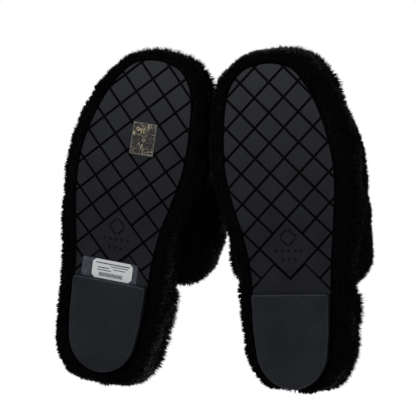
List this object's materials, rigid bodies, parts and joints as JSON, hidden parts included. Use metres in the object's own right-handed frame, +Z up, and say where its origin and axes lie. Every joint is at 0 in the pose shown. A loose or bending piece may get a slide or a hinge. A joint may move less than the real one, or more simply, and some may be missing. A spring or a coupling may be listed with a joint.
{
  "type": "fluffy house slippers",
  "caption": "Pair of open-toe fluffy mules: a shearling band over the foot, a fur wrap round the platform, and a rubber outsole with a diamond tread and a raised heel lift.",
  "frame": {"origin": "on the floor under the middle of the pair, where both slippers stand on their soles", "axes": "+Z up; toes point towards -Y and heels towards +Y; the left slipper is at +X and the right one at -X"},
  "size_m": [0.2526, 0.2858, 0.106],
  "materials": {
    "sole_rubber": "satin moulded rubber with fine grain, cut by square grooves",
    "lift_rubber": "smooth satin rubber with a lighter worn edge",
    "platform_foam": "closed-cell foam",
    "insole_board": "matt fibre board",
    "cushion_foam": "soft foam",
    "sock_pile": "dense short curly pile",
    "wrap_pile": "dense fluffy pile, about 12 mm long",
    "thread": "waxed thread",
    "band_pile": "dense fluffy pile, about 13 mm long",
    "interlining": "non-woven felt",
    "band_lining": "short curly pile",
    "binding": "folded woven tape",
    "foil": "speckled security foil, dull silver and gold",
    "clear_tape": "clear adhesive tape",
    "label_paper": "blank white coated paper"
  },
  "bodies": {
    "left_slipper": {"left_outsole": "sole_rubber", "left_heel_lift": "lift_rubber", "left_platform": "platform_foam", "left_insole_board": "insole_board", "left_cushion_foam": "cushion_foam", "left_sock": "sock_pile", "left_side_wrap": "wrap_pile", "left_footbed_seam": "thread", "left_band_pile": "band_pile", "left_band_interlining": "interlining", "left_band_lining": "band_lining", "left_band_front_binding": "binding", "left_band_rear_binding": "binding"},
    "right_slipper": {"right_outsole": "sole_rubber", "right_heel_lift": "lift_rubber", "right_platform": "platform_foam", "right_insole_board": "insole_board", "right_cushion_foam": "cushion_foam", "right_sock": "sock_pile", "right_side_wrap": "wrap_pile", "right_footbed_seam": "thread", "right_band_pile": "band_pile", "right_band_interlining": "interlining", "right_band_lining": "band_lining", "right_band_front_binding": "binding", "right_band_rear_binding": "binding", "foil_sticker": "foil", "label_tape": "clear_tape", "price_label": "label_paper"}
  },
  "joints": [
    {"name": "right_slipper_lift", "type": "slide", "parent": "left_slipper", "child": "right_slipper", "axis": [0, 0, 1], "range_m": [0, 0.15]}
  ]
}
